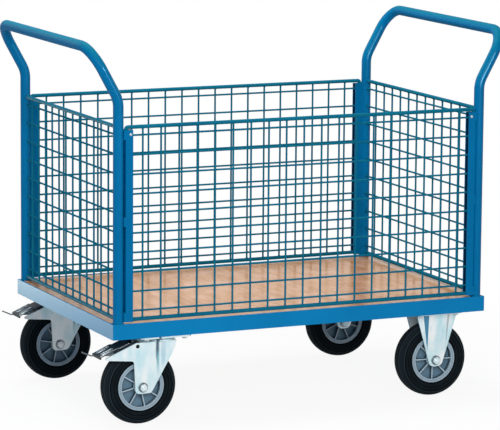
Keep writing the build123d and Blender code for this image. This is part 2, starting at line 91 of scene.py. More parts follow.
# camera, at the photograph's viewing angle
camSpec = {"place": (-3.47272, -7.677948, 1.842788), "yaw": 24.36, "pitch": -9.2527, "roll": 0.4376,
           "focalPx": 3175.28, "imageWidth": 500, "sensorMm": 36, "reach": 100}


def makeCamera(spec):
    yaw, pitch, roll = (math.radians(spec[k]) for k in ("yaw", "pitch", "roll"))
    ahead = Vector((math.sin(yaw) * math.cos(pitch), math.cos(yaw) * math.cos(pitch), math.sin(pitch)))
    right = Vector((math.cos(yaw), -math.sin(yaw), 0))
    up = right.cross(ahead)
    camRight = right * math.cos(roll) + up * math.sin(roll)
    camUp = up * math.cos(roll) - right * math.sin(roll)
    data = bpy.data.cameras.new("camera")
    data.sensor_width = spec["sensorMm"]
    data.lens = spec["focalPx"] / spec["imageWidth"] * spec["sensorMm"]
    data.clip_end = spec["reach"]
    camera = bpy.data.objects.new("camera", data)
    scene.collection.objects.link(camera)
    turn = Matrix((camRight, camUp, -ahead)).transposed().to_4x4()
    camera.matrix_world = Matrix.Translation(Vector(spec["place"])) @ turn
    scene.camera = camera


makeCamera(camSpec)
print("camera set")


# studio: white paper floor, soft world and six lamps, flagged so that bright ones reach only some pieces
# the fill is kept off the deck and the shaded back left castor, and a twin without glare lights the deck
# the low panel skims the blue left end, the bar panel and the leg strip give the hoops their highlights
fill = {"place": (-2.0, -5.2, 2.6), "target": (0, 0, 0.4), "size": (3.4, 2.4), "watts": 184,
        "tint": "#ffffff"}
hoopGlare = {"off": "visible_diffuse", "lights": ("left_hoop", "right_hoop")}
studio = {
    "floorSize": 40, "floor": "#fbfcfc", "bounce": "#c9cccd", "nearWhite": 0.91, "nearEdge": (0.75, 1.7),
    "worldFill": 0.28,
    "lamps": (
        {"name": "overheadSoftbox", "place": (-0.4, 0.5, 3.3), "target": (0, 0, 0.3), "size": (2.2, 1.5),
         "watts": 64, "tint": "#ffffff"},
        {"name": "frontFill", **fill,
         "skips": ("deck", "back_left_fork", "back_left_hub", "back_left_ringedTyre", "back_left_rimBeads",
                   "back_left_axle", "back_left_swivel")},
        {"name": "deckFill", **fill, "off": "visible_glossy", "lights": ("deck",)},
        {"name": "lowBackPanel", "place": (-1.65, 2.46, 0.2), "target": (-0.5, 0, 0.25), "size": (0.6, 0.38),
         "watts": 76, "tint": "#eefff4", "off": "visible_diffuse",
         "lights": ("frame_left_rail", "left_end_rails")},
        {"name": "barPanel", "place": (-2.0, 3.2, 2.3), "target": (-0.5, 0, 0.95), "size": (2.6, 3.0),
         "watts": 60, "tint": "#f0ffe8", **hoopGlare},
        {"name": "legStrip", "place": (0.5, -2.75, 1.06), "target": (0.3, 0, 0.9), "size": (0.6, 0.5),
         "watts": 280, "tint": "#93e8ff", **hoopGlare},
    )}


def seenDirectly(tree):
    # 1 for the eye and for mirrored rays, 0 for bounced light
    path = addNode(tree, "ShaderNodeLightPath")
    direct = addNode(tree, "ShaderNodeMath", {"operation": "MAXIMUM"},
                     {0: path.outputs["Is Camera Ray"], 1: path.outputs["Is Glossy Ray"]})
    return direct.outputs[0]


def makeFloor(spec):
    half = spec["floorSize"] / 2
    mesh = bpy.data.meshes.new("floor")
    outline = [(-half, -half, 0), (half, -half, 0), (half, half, 0), (-half, half, 0)]
    mesh.from_pydata(outline, [], [(0, 1, 2, 3)])
    floor = bpy.data.objects.new("floor", mesh)
    scene.collection.objects.link(floor)
    # matt paper sweep: white to the eye, still takes a soft shadow
    # its bounce is toned down to keep the underside dim
    material, tree = newMaterial("paperSweepMatt")
    direct = seenDirectly(tree)
    coord = addNode(tree, "ShaderNodeTexCoord")
    away = addNode(tree, "ShaderNodeVectorMath", {"operation": "LENGTH"}, {0: coord.outputs["Object"]})
    white = addNode(tree, "ShaderNodeMapRange",
                    {"From Min": spec["nearEdge"][0], "From Max": spec["nearEdge"][1],
                     "To Min": spec["nearWhite"]}, {"Value": away.outputs["Value"]})
    share = addNode(tree, "ShaderNodeMath", {"operation": "MULTIPLY"}, {0: direct, 1: white.outputs[0]})
    paper = addNode(tree, "ShaderNodeMix",
                    {"data_type": "RGBA", 6: hexColour(spec["bounce"]), 7: hexColour(spec["floor"])},
                    {0: direct})
    matt = addNode(tree, "ShaderNodeBsdfDiffuse", None, {"Color": paper.outputs[2]})
    glow = addNode(tree, "ShaderNodeEmission", {"Color": (1, 1, 1, 1), "Strength": 1.0})
    mix = addNode(tree, "ShaderNodeMixShader", None,
                  {0: share.outputs[0], 1: matt.outputs[0], 2: glow.outputs[0]})
    addNode(tree, "ShaderNodeOutputMaterial", None, {"Surface": mix.outputs[0]})
    mesh.materials.append(material)


def makeWorld(spec):
    world = bpy.data.worlds.new("studio")
    scene.world = world
    world.use_nodes = True
    tree = world.node_tree
    tree.nodes.clear()
    level = addNode(tree, "ShaderNodeMapRange", {"To Min": spec["worldFill"]}, {"Value": seenDirectly(tree)})
    back = addNode(tree, "ShaderNodeBackground", {"Color": (1, 1, 1, 1)}, {"Strength": level.outputs[0]})
    addNode(tree, "ShaderNodeOutputWorld", None, {"Surface": back.outputs[0]})


def makeLamp(spec):
    data = bpy.data.lights.new(spec["name"], "AREA")
    data.shape = "RECTANGLE"
    data.size, data.size_y = spec["size"]
    data.energy = spec["watts"]
    data.color = hexColour(spec["tint"])[:3]
    lamp = bpy.data.objects.new(spec["name"], data)
    aim = (Vector(spec["target"]) - Vector(spec["place"])).to_track_quat("-Z", "Y")
    lamp.matrix_world = Matrix.Translation(spec["place"]) @ aim.to_matrix().to_4x4()
    lamp.visible_camera = False
    if "off" in spec:
        setattr(lamp, spec["off"], False)
    scene.collection.objects.link(lamp)


makeFloor(studio)
makeWorld(studio)
for lampSpec in studio["lamps"]:
    makeLamp(lampSpec)
print("studio set")

# materials: each function is followed by the values of its finishes
# lengths are in metres where a name doesn't end in Mm
fineDetail, flowDetail = 2.0, 3.0  # noise detail of grain and of flow marks
clouds = {"cloudDetail": flowDetail, "cloudRough": 0.5, "cloudSpan": (0.3, 0.7)}


def tonedClouds(tree, spec, vector):
    # two close tones in soft clouds; gives the clouds and the colour
    cloud = addNode(tree, "ShaderNodeTexNoise",
                    {"Scale": 1000 / spec["cloudMm"], "Detail": spec["cloudDetail"],
                     "Roughness": spec["cloudRough"]}, {"Vector": vector})
    even = addNode(tree, "ShaderNodeMapRange",
                   {"From Min": spec["cloudSpan"][0], "From Max": spec["cloudSpan"][1]},
                   {"Value": cloud.outputs["Fac"]})
    tone = addNode(tree, "ShaderNodeMix",
                   {"data_type": "RGBA", 6: hexColour(spec["dark"]), 7: hexColour(spec["light"])},
                   {0: even.outputs[0]})
    return cloud.outputs["Fac"], tone.outputs[2]


def wheelPlace(tree, spec, coord):
    # a point's place, whether it is at the right end, and its distance from the middle plane of its wheel
    place = addNode(tree, "ShaderNodeSeparateXYZ", None, {0: coord.outputs["Object"]})
    rightEnd = addNode(tree, "ShaderNodeMath", {"operation": "GREATER_THAN", 1: 0.0}, {0: place.outputs["X"]})
    middle = addNode(tree, "ShaderNodeMapRange", {"To Min": spec["swivelY"], "To Max": spec["fixedY"]},
                     {"Value": rightEnd.outputs[0]})
    side = addNode(tree, "ShaderNodeMath", {"operation": "ABSOLUTE"}, {0: place.outputs["Y"]})
    offset = addNode(tree, "ShaderNodeMath", {"operation": "SUBTRACT"},
                     {0: side.outputs[0], 1: middle.outputs[0]})
    depth = addNode(tree, "ShaderNodeMath", {"operation": "ABSOLUTE"}, {0: offset.outputs[0]})
    return place, rightEnd.outputs[0], depth.outputs[0]


def closeMaterial(tree, spec, colour, rough, height):
    # shader with the constants of its finish, over a fine relief
    bump = addNode(tree, "ShaderNodeBump", {"Strength": spec["bump"], "Distance": spec["bumpMm"] / 1000},
                   {"Height": height})
    shader = addNode(tree, "ShaderNodeBsdfPrincipled", spec["shader"],
                     {"Base Color": colour, "Roughness": rough, "Normal": bump.outputs["Normal"]})
    addNode(tree, "ShaderNodeOutputMaterial", None, {"Surface": shader.outputs[0]})


def tubePaintedLightAndWear(tree, spec, coord, colour, rough):
    # painted shade inside the posts' channels: the coat is drawn dark there
    place = addNode(tree, "ShaderNodeSeparateXYZ", None, {0: coord.outputs["Object"]})
    absX = addNode(tree, "ShaderNodeMath", {"operation": "ABSOLUTE"}, {0: place.outputs["X"]})
    absY = addNode(tree, "ShaderNodeMath", {"operation": "ABSOLUTE"}, {0: place.outputs["Y"]})
    inX = addNode(tree, "ShaderNodeMath",
                  {"operation": "COMPARE", 1: spec["channelX"], 2: spec["channelHalfX"]},
                  {0: absX.outputs[0]})
    inY = addNode(tree, "ShaderNodeMath",
                  {"operation": "COMPARE", 1: spec["channelY"], 2: spec["channelHalfY"]},
                  {0: absY.outputs[0]})
    inZ = addNode(tree, "ShaderNodeMath", {"operation": "LESS_THAN", 1: spec["channelTop"]},
                  {0: place.outputs["Z"]})
    inPlan = addNode(tree, "ShaderNodeMath", {"operation": "MULTIPLY"},
                     {0: inX.outputs[0], 1: inY.outputs[0]})
    inside = addNode(tree, "ShaderNodeMath", {"operation": "MULTIPLY"},
                     {0: inPlan.outputs[0], 1: inZ.outputs[0]})
    channelShaded = addNode(tree, "ShaderNodeMix", {"data_type": "RGBA", 7: hexColour(spec["channel"])},
                   {0: inside.outputs[0], 6: colour})
    # upper sides are tinted greener, a painted highlight tone
    facing = addNode(tree, "ShaderNodeSeparateXYZ", None, {0: coord.outputs["Normal"]})
    upward = addNode(tree, "ShaderNodeMapRange",
                     {"From Min": spec["paintedTopTurn"][0], "From Max": spec["paintedTopTurn"][1]},
                     {"Value": facing.outputs["Z"]})
    topToned = addNode(tree, "ShaderNodeMix", {"data_type": "RGBA", 7: hexColour(spec["paintedTopTone"])},
                      {0: upward.outputs[0], 6: channelShaded.outputs[2]})
    # hands rub the grips matt
    grip = addNode(tree, "ShaderNodeMapRange",
                   {"From Min": spec["gripZ"][0], "From Max": spec["gripZ"][1], "To Max": spec["gripMatt"]},
                   {"Value": place.outputs["Z"]})
    rubbed = addNode(tree, "ShaderNodeMath", {"operation": "ADD"}, {0: rough, 1: grip.outputs[0]})
    return topToned.outputs[2], rubbed.outputs[0]


def powderCoat(name, spec):
    # polyester powder coat, oven cured: satin blue, colour almost even, a faint orange peel
    # the peel is drawn coarser than its real 1 mm so that it shows
    material, tree = newMaterial(name)
    coord = addNode(tree, "ShaderNodeTexCoord")
    colour = tonedClouds(tree, spec, coord.outputs["Object"])[1]
    peel = addNode(tree, "ShaderNodeTexNoise", {"Scale": 1000 / spec["peelMm"], "Detail": fineDetail},
                   {"Vector": coord.outputs["Object"]})
    gloss = addNode(tree, "ShaderNodeMapRange", {"To Min": spec["gloss"][0], "To Max": spec["gloss"][1]},
                    {"Value": peel.outputs["Fac"]})
    rough = gloss.outputs[0]
    if "channel" in spec:
        colour, rough = tubePaintedLightAndWear(tree, spec, coord, colour, rough)
    closeMaterial(tree, spec, colour, rough, peel.outputs["Fac"])
    return material


coat = {**clouds, "bump": 0.05, "bumpMm": 0.4}
frameCoat = {**coat, "dark": "#007cb8", "light": "#0084c2", "cloudMm": 180, "peelMm": 6,
             "gloss": (0.31, 0.41), "shader": {"Specular IOR Level": 0.11}}
# the tube coat's channel tone is painted shade, its top tone a painted highlight tone
tubeCoat = {**coat, "dark": "#006ea4", "light": "#0075af", "cloudMm": 120, "peelMm": 5,
            "gloss": (0.15, 0.25), "shader": {"Specular IOR Level": 0.05},
            "channel": "#04304f", "channelX": 0.4864, "channelHalfX": 0.0087, "channelY": 0.33905,
            "channelHalfY": 0.0071, "channelTop": 0.765, "paintedTopTone": "#007494", "paintedTopTurn": (0.1, 0.7),
            "gripZ": (0.93, 0.965), "gripMatt": 0.4}
wireCoat = {**coat, "dark": "#0c6885", "light": "#107390", "cloudMm": 90, "peelMm": 5,
            "gloss": (0.57, 0.67), "shader": {"Specular IOR Level": 0.03}}


def paintedGrooveShade(tree, spec, place, colour):
    # painted shade and painted teal reflection in the pressed groove of the swivel forks, darkest under the
    # crown
    leftOut, leftIn, rightIn, rightOut = spec["grooveX"]
    low, middle, top = spec["grooveZ"]
    near = addNode(tree, "ShaderNodeMapRange",
                   {"interpolation_type": "SMOOTHSTEP", "From Min": leftOut, "From Max": leftIn},
                   {"Value": place.outputs["X"]})
    far = addNode(tree, "ShaderNodeMapRange",
                  {"interpolation_type": "SMOOTHSTEP", "From Min": rightIn, "From Max": rightOut,
                   "To Min": 1.0, "To Max": 0.0}, {"Value": place.outputs["X"]})
    shadeRise = addNode(tree, "ShaderNodeMapRange",
                   {"From Min": low, "From Max": middle, "To Max": spec["grooveShadeShare"]},
                   {"Value": place.outputs["Z"]})
    across = addNode(tree, "ShaderNodeMath", {"operation": "MULTIPLY"},
                     {0: near.outputs[0], 1: far.outputs[0]})
    grooveShadeMask = addNode(tree, "ShaderNodeMath", {"operation": "MULTIPLY"},
                   {0: across.outputs[0], 1: shadeRise.outputs[0]})
    high = addNode(tree, "ShaderNodeMapRange", {"From Min": middle, "From Max": top},
                   {"Value": place.outputs["Z"]})
    grooveShadeTone = addNode(tree, "ShaderNodeMix",
                       {"data_type": "RGBA", 6: hexColour(spec["grooveShadeLow"]), 7: hexColour(spec["grooveShadeHigh"])},
                       {0: high.outputs[0]})
    grooveShaded = addNode(tree, "ShaderNodeMix", {"data_type": "RGBA"},
                     {0: grooveShadeMask.outputs[0], 6: colour, 7: grooveShadeTone.outputs[2]})
    return grooveShaded.outputs[2]


def zincPlate(name, spec):
    # bright zinc on pressed steel, blue passivated: near white, a painted teal reflection on faces turned
    # left, painted grey shade on faces turned right
    # the fine streaks down the sheet are drawn coarser than real ones so that they show
    material, tree = newMaterial(name)
    coord = addNode(tree, "ShaderNodeTexCoord")
    hung = addNode(tree, "ShaderNodeMapping", {"Scale": (1, 1, spec["cloudSquash"])},
                   {"Vector": coord.outputs["Object"]})
    colour = tonedClouds(tree, spec, hung.outputs[0])[1]
    facing = addNode(tree, "ShaderNodeSeparateXYZ", None, {0: coord.outputs["Normal"]})
    place = addNode(tree, "ShaderNodeSeparateXYZ", None, {0: coord.outputs["Object"]})
    rightEnd = addNode(tree, "ShaderNodeMath", {"operation": "GREATER_THAN", 1: 0.0}, {0: place.outputs["X"]})
    # painted teal reflection on faces turned left above the axle, stronger on the fixed forks
    reflectionShare = addNode(tree, "ShaderNodeMapRange",
                        {"To Min": spec["swivelReflectionShare"], "To Max": spec["fixedReflectionShare"]},
                        {"Value": rightEnd.outputs[0]})
    turnedLeft = addNode(tree, "ShaderNodeMapRange",
                         {"From Min": spec["reflectionTurn"][0], "From Max": spec["reflectionTurn"][1]},
                         {"Value": facing.outputs["X"]})
    aboveAxle = addNode(tree, "ShaderNodeMapRange",
                        {"From Min": spec["reflectionZ"][0], "From Max": spec["reflectionZ"][1]},
                        {"Value": place.outputs["Z"]})
    flank = addNode(tree, "ShaderNodeMath", {"operation": "MULTIPLY"},
                    {0: aboveAxle.outputs[0], 1: turnedLeft.outputs[0]})
    paintedReflection = addNode(tree, "ShaderNodeMath", {"operation": "MULTIPLY"},
                   {0: reflectionShare.outputs[0], 1: flank.outputs[0]})
    reflected = addNode(tree, "ShaderNodeMix", {"data_type": "RGBA", 7: hexColour(spec["paintedReflection"])},
                   {0: paintedReflection.outputs[0], 6: colour})
    colour = reflected.outputs[2]
    if "grooveX" in spec:
        colour = paintedGrooveShade(tree, spec, place, colour)
    # painted grey shade on faces turned right
    paintedSideShade = addNode(tree, "ShaderNodeMapRange",
                     {"From Min": spec["sideShadeTurn"][0], "From Max": spec["sideShadeTurn"][1],
                      "To Max": spec["sideShadeShare"]}, {"Value": facing.outputs["X"]})
    sideShaded = addNode(tree, "ShaderNodeMix", {"data_type": "RGBA", 7: hexColour(spec["paintedSideShade"])},
                     {0: paintedSideShade.outputs[0], 6: colour})
    stretch = addNode(tree, "ShaderNodeMapping", {"Scale": (1, 1, spec["streakSquash"])},
                      {"Vector": coord.outputs["Object"]})
    streak = addNode(tree, "ShaderNodeTexNoise", {"Scale": 1000 / spec["streakMm"], "Detail": flowDetail},
                     {"Vector": stretch.outputs[0]})
    gloss = addNode(tree, "ShaderNodeMapRange",
                    {"From Min": spec["streakSpan"][0], "From Max": spec["streakSpan"][1],
                     "To Min": spec["gloss"][0], "To Max": spec["gloss"][1]},
                    {"Value": streak.outputs["Fac"]})
    closeMaterial(tree, spec, sideShaded.outputs[2], gloss.outputs[0], streak.outputs["Fac"])
    return material


# the tint on faces turned left is a painted teal reflection, on faces turned right a painted grey shade; the
# groove tones are painted shade and reflection
zinc = {**clouds, "cloudDetail": 4.0, "cloudSpan": (0.32, 0.68), "cloudSquash": 0.4, "streakSquash": 0.12,
        "streakSpan": (0.3, 0.7), "reflectionTurn": (-0.08, -0.25), "reflectionZ": (0.115, 0.145),
        "sideShadeTurn": (0.3, 0.6), "bumpMm": 0.3}
zincSheet = {**zinc, "dark": "#c4e9f2", "light": "#fafeff", "cloudMm": 28, "streakMm": 4,
             "gloss": (0.27, 0.42), "bump": 0.06, "shader": {"Metallic": 0.25},
             "paintedReflection": "#0d7aa2", "fixedReflectionShare": 0.95, "swivelReflectionShare": 0.3, "paintedSideShade": "#7d7f7d",
             "sideShadeShare": 0.45, "grooveShadeLow": "#6fb4c2", "grooveShadeHigh": "#2f5a70", "grooveShadeShare": 0.95,
             "grooveX": (-0.4065, -0.404, -0.4005, -0.395), "grooveZ": (0.126, 0.175, 0.195)}
zincBolt = {**zinc, "dark": "#a4b2b9", "light": "#c9cecc", "cloudMm": 10, "streakMm": 2,
            "gloss": (0.21, 0.36), "bump": 0.05, "shader": {"Metallic": 1.0},
            "paintedReflection": "#7f97a3", "fixedReflectionShare": 0.4, "swivelReflectionShare": 0.4, "paintedSideShade": "#84827d", "sideShadeShare": 0.3}


def beechBoard(name, spec):
    # beech-faced board, sealed: pale orange-brown with pinkish clouds, soft bands and short flecks along y,
    # glossy enough to mirror the posts a little; flecks are drawn coarser than real ones so that they show
    material, tree = newMaterial(name)
    coord = addNode(tree, "ShaderNodeTexCoord")
    bandSpace = addNode(tree, "ShaderNodeMapping", {"Scale": (1, spec["bandSquash"], 1)},
                        {"Vector": coord.outputs["Object"]})
    band, tone = tonedClouds(tree, spec, bandSpace.outputs[0])
    cloud = addNode(tree, "ShaderNodeTexNoise", {"Scale": 1000 / spec["pinkMm"], "Detail": fineDetail},
                    {"Vector": coord.outputs["Object"]})
    cloudMask = addNode(tree, "ShaderNodeMapRange",
                        {"From Min": spec["pinkSpan"][0], "From Max": spec["pinkSpan"][1],
                         "To Max": spec["pinkShare"]}, {"Value": cloud.outputs["Fac"]})
    clouded = addNode(tree, "ShaderNodeMix", {"data_type": "RGBA", 7: hexColour(spec["pink"])},
                      {0: cloudMask.outputs[0], 6: tone})
    fleckSpace = addNode(tree, "ShaderNodeMapping", {"Scale": (1, spec["fleckSquash"], 1)},
                         {"Vector": coord.outputs["Object"]})
    fleck = addNode(tree, "ShaderNodeTexNoise", {"Scale": 1000 / spec["fleckMm"], "Detail": fineDetail},
                    {"Vector": fleckSpace.outputs[0]})
    fleckMask = addNode(tree, "ShaderNodeMapRange",
                        {"From Min": spec["fleckSpan"][0], "From Max": spec["fleckSpan"][1],
                         "To Max": spec["fleckShare"]}, {"Value": fleck.outputs["Fac"]})
    colour = addNode(tree, "ShaderNodeMix", {"data_type": "RGBA", 7: hexColour(spec["fleck"])},
                     {0: fleckMask.outputs[0], 6: clouded.outputs[2]})
    gloss = addNode(tree, "ShaderNodeMapRange", {"To Min": spec["gloss"][0], "To Max": spec["gloss"][1]},
                    {"Value": band})
    closeMaterial(tree, spec, colour.outputs[2], gloss.outputs[0], fleck.outputs["Fac"])
    return material


deckBoard = {**clouds, "dark": "#c08344", "light": "#dda676", "cloudMm": 26, "cloudDetail": 4.0,
             "cloudRough": 0.6, "bandSquash": 0.14, "pink": "#e8b99d", "pinkMm": 60, "pinkSpan": (0.45, 0.7),
             "pinkShare": 0.6, "fleck": "#a36a36", "fleckMm": 3.5, "fleckSquash": 0.16,
             "fleckSpan": (0.58, 0.7), "fleckShare": 0.5, "gloss": (0.17, 0.27), "bump": 0.08, "bumpMm": 0.3,
             "shader": {"Specular IOR Level": 0.16}}


def nylonHub(name, spec):
    # glass-filled nylon, injection moulded: slate grey, shade and light painted by depth from the wheel's
    # middle plane: rib sides dark as painted shade, rib fronts, rim face and rim beads pale as painted
    # highlights, a matt grain drawn coarser than real to show
    material, tree = newMaterial(name)
    coord = addNode(tree, "ShaderNodeTexCoord")
    depth = wheelPlace(tree, spec, coord)[2]
    # painted by depth: shade on the rib sides, highlights on the rib fronts and the rim
    wall = addNode(tree, "ShaderNodeMapRange",
                   {"From Min": spec["wallDepth"][0], "From Max": spec["wallDepth"][1]}, {"Value": depth})
    pocketShade = addNode(tree, "ShaderNodeMix",
                     {"data_type": "RGBA", 6: hexColour(spec["web"]), 7: hexColour(spec["ribSideShade"])},
                     {0: wall.outputs[0]})
    outer = addNode(tree, "ShaderNodeMapRange",
                    {"From Min": spec["edgeDepth"][0], "From Max": spec["edgeDepth"][1]}, {"Value": depth})
    ribFrontLit = addNode(tree, "ShaderNodeMix", {"data_type": "RGBA", 7: hexColour(spec["edge"])},
                     {0: outer.outputs[0], 6: pocketShade.outputs[2]})
    rimLitMask = addNode(tree, "ShaderNodeMath",
                    {"operation": "COMPARE", 1: spec["rimDepth"], 2: spec["rimReach"]}, {0: depth})
    tone = addNode(tree, "ShaderNodeMix", {"data_type": "RGBA", 7: hexColour(spec["rim"])},
                   {0: rimLitMask.outputs[0], 6: ribFrontLit.outputs[2]})
    flow = addNode(tree, "ShaderNodeTexNoise", {"Scale": 1000 / spec["flowMm"], "Detail": flowDetail},
                   {"Vector": coord.outputs["Object"]})
    flowMask = addNode(tree, "ShaderNodeMapRange",
                       {"From Min": spec["hazeSpan"][0], "From Max": spec["hazeSpan"][1],
                        "To Max": spec["hazeShare"]}, {"Value": flow.outputs["Fac"]})
    colour = addNode(tree, "ShaderNodeMix", {"data_type": "RGBA", 7: hexColour(spec["haze"])},
                     {0: flowMask.outputs[0], 6: tone.outputs[2]})
    grain = addNode(tree, "ShaderNodeTexNoise", {"Scale": 1000 / spec["grainMm"], "Detail": fineDetail},
                    {"Vector": coord.outputs["Object"]})
    gloss = addNode(tree, "ShaderNodeMapRange", {"To Min": spec["gloss"][0], "To Max": spec["gloss"][1]},
                    {"Value": flow.outputs["Fac"]})
    closeMaterial(tree, spec, colour.outputs[2], gloss.outputs[0], grain.outputs["Fac"])
    return material


# middles of the back wheels, the front ones being their mirror images
wheels = {"swivelX": -0.443, "swivelY": 0.297, "fixedX": 0.409, "fixedY": 0.279, "axleZ": 0.1}
# the rib side tone is painted shade; the edge and rim tones are painted highlights
hubPlastic = {**wheels, "web": "#66869b", "ribSideShade": "#324753", "wallDepth": (0.0034, 0.0065),
              "edge": "#bccfdb", "edgeDepth": (0.0148, 0.0164), "rim": "#93a7b6", "rimDepth": 0.0221,
              "rimReach": 0.0003, "haze": "#86a7ba", "hazeSpan": (0.4, 0.75), "hazeShare": 0.35, "flowMm": 24,
              "grainMm": 1.4, "gloss": (0.34, 0.5), "bump": 0.08, "bumpMm": 0.3,
              "shader": {"Specular IOR Level": 0.4}}


def rubberTyre(name, spec):
    # solid rubber, press moulded: matt slate black, the tread greyed by dust and a painted sheen, the mould
    # rings painted pale as highlights and dark as shade, the bead gap painted black as shade, a grain drawn
    # coarser than real to show
    material, tree = newMaterial(name)
    coord = addNode(tree, "ShaderNodeTexCoord")
    place, rightEnd, across = wheelPlace(tree, spec, coord)
    axleX = addNode(tree, "ShaderNodeMapRange", {"To Min": spec["swivelX"], "To Max": spec["fixedX"]},
                    {"Value": rightEnd})
    along = addNode(tree, "ShaderNodeMath", {"operation": "SUBTRACT"},
                    {0: place.outputs["X"], 1: axleX.outputs[0]})
    above = addNode(tree, "ShaderNodeMath", {"operation": "SUBTRACT", 1: spec["axleZ"]},
                    {0: place.outputs["Z"]})
    spoke = addNode(tree, "ShaderNodeCombineXYZ", None, {0: along.outputs[0], 1: above.outputs[0]})
    radius = addNode(tree, "ShaderNodeVectorMath", {"operation": "LENGTH"}, {0: spoke.outputs[0]})
    flow, tone = tonedClouds(tree, spec, coord.outputs["Object"])
    # the greyer tread is dust and a painted sheen
    tread = addNode(tree, "ShaderNodeMapRange",
                    {"From Min": spec["treadAt"][0], "From Max": spec["treadAt"][1],
                     "To Max": spec["dustAndSheenShare"]}, {"Value": radius.outputs["Value"]})
    dustedAndSheened = addNode(tree, "ShaderNodeMix", {"data_type": "RGBA", 7: hexColour(spec["dustAndSheen"])},
                    {0: tread.outputs[0], 6: tone})
    colour = dustedAndSheened.outputs[2]
    # pale rings are painted highlights on rib and shoulder edges, dark rings painted shade in grooves, steps
    # and the bead gap
    for source, ringAt, ringHalf, ring in spec["rings"]:
        distance = radius.outputs["Value"] if source == "radius" else across
        mask = addNode(tree, "ShaderNodeMath", {"operation": "COMPARE", 1: ringAt, 2: ringHalf},
                       {0: distance})
        ringed = addNode(tree, "ShaderNodeMix", {"data_type": "RGBA", 7: hexColour(ring)},
                         {0: mask.outputs[0], 6: colour})
        colour = ringed.outputs[2]
    grain = addNode(tree, "ShaderNodeTexNoise", {"Scale": 1000 / spec["grainMm"], "Detail": fineDetail},
                    {"Vector": coord.outputs["Object"]})
    gloss = addNode(tree, "ShaderNodeMapRange", {"To Min": spec["gloss"][0], "To Max": spec["gloss"][1]},
                    {"Value": flow})
    closeMaterial(tree, spec, colour, gloss.outputs[0], grain.outputs["Fac"])
    return material


# a ring is where it is measured, its place there, its half width and its colour
# the dust tone is partly a painted sheen
tyreRubber = {**clouds, **wheels, "dark": "#11181c", "light": "#182127", "cloudMm": 30, "dustAndSheen": "#2c373e",
              "dustAndSheenShare": 0.35, "treadAt": (0.09, 0.097), "grainMm": 1.6, "gloss": (0.58, 0.72),
              "bump": 0.08, "bumpMm": 0.3, "shader": {"Specular IOR Level": 0.03},
              # pale rings are painted highlights, dark rings painted shade
              "rings": (("across", 0.0113, 0.0016, "#36424a"), ("across", 0.0081, 0.0016, "#07090b"),
                        ("radius", 0.0885, 0.0012, "#29343b"), ("radius", 0.0855, 0.0012, "#07090b"),
                        ("radius", 0.0755, 0.0009, "#07090b"), ("radius", 0.0647, 0.0021, "#050708"))}


def smallSteel(name, spec):
    # oiled or drawn steel: even dark colour, slight oil marks, a grain drawn coarser than real to show
    material, tree = newMaterial(name)
    coord = addNode(tree, "ShaderNodeTexCoord")
    flow, tone = tonedClouds(tree, spec, coord.outputs["Object"])
    grain = addNode(tree, "ShaderNodeTexNoise", {"Scale": 1000 / spec["grainMm"], "Detail": fineDetail},
                    {"Vector": coord.outputs["Object"]})
    gloss = addNode(tree, "ShaderNodeMapRange", {"To Min": spec["gloss"][0], "To Max": spec["gloss"][1]},
                    {"Value": flow})
    closeMaterial(tree, spec, tone, gloss.outputs[0], grain.outputs["Fac"])
    return material


steel = {**clouds, "bump": 0.1, "bumpMm": 0.3}
pedalSteel = {**steel, "dark": "#1b252b", "light": "#2c3840", "cloudMm": 12, "grainMm": 1.2,
              "gloss": (0.33, 0.47), "shader": {"Metallic": 0.1, "Specular IOR Level": 0.15}}
pinSteel = {**steel, "dark": "#0b0e10", "light": "#15191c", "cloudMm": 4, "grainMm": 0.8,
            "gloss": (0.38, 0.52), "shader": {"Metallic": 0.2, "Specular IOR Level": 0.2}}
rodSteel = {**steel, "dark": "#5d6468", "light": "#7a8287", "cloudMm": 6, "grainMm": 0.8,
            "gloss": (0.28, 0.42), "bump": 0.08, "shader": {"Metallic": 0.9, "Specular IOR Level": 0.5}}

finishes = {
    "blue_frame": powderCoat("powderCoatSatinFrame", frameCoat),
    "blue_tube": powderCoat("powderCoatSatinTube", tubeCoat),
    "blue_wire": powderCoat("powderCoatSatinWire", wireCoat),
    "deck_wood": beechBoard("beechBoardSealed", deckBoard),
    "zinc_sheet": zincPlate("zincPlatePressedSheet", zincSheet),
    "zinc_bolt": zincPlate("zincPlateBolt", zincBolt),
    "pedal_dark": smallSteel("oiledSteelPedal", pedalSteel),
    "pin_dark": smallSteel("oiledSteelPin", pinSteel),
    "rod_steel": smallSteel("drawnSteelWire", rodSteel),
    "hub_grey": nylonHub("nylonMouldedHub", hubPlastic),
    "tyre_black": rubberTyre("solidRubberTyre", tyreRubber),
}
for part in frame["record"]["subparts"]:
    mesh = nodes[part["node"]].data
    mesh.materials.clear()
    mesh.materials.append(finishes[part["material_slot"]])
print("finishes set:", len(finishes))

# small rounded edges, as rolled and pressed steel has, widths in millimetres
edges = {"angle": 40, "kinds": (
    {"starts": "frame", "ends": ("_rail",), "width": 1.4, "segments": 3},
    {"starts": "", "ends": ("_post", "_plate", "_fork", "_pedal", "_hub"), "width": 0.7, "segments": 2})}
for kind in edges["kinds"]:
    for name in nodes:
        if name.startswith(kind["starts"]) and name.endswith(kind["ends"]):
            bevel = nodes[name].modifiers.new("edge", "BEVEL")
            bevel.width = kind["width"] / 1000
            bevel.segments = kind["segments"]
            bevel.limit_method = "ANGLE"
            bevel.angle_limit = math.radians(edges["angle"])
print("edges softened")

# mesh code shared by the pieces below, sizes in millimetres
axisX, axisY, axisZ = (1, 0, 0), (0, 1, 0), (0, 0, 1)


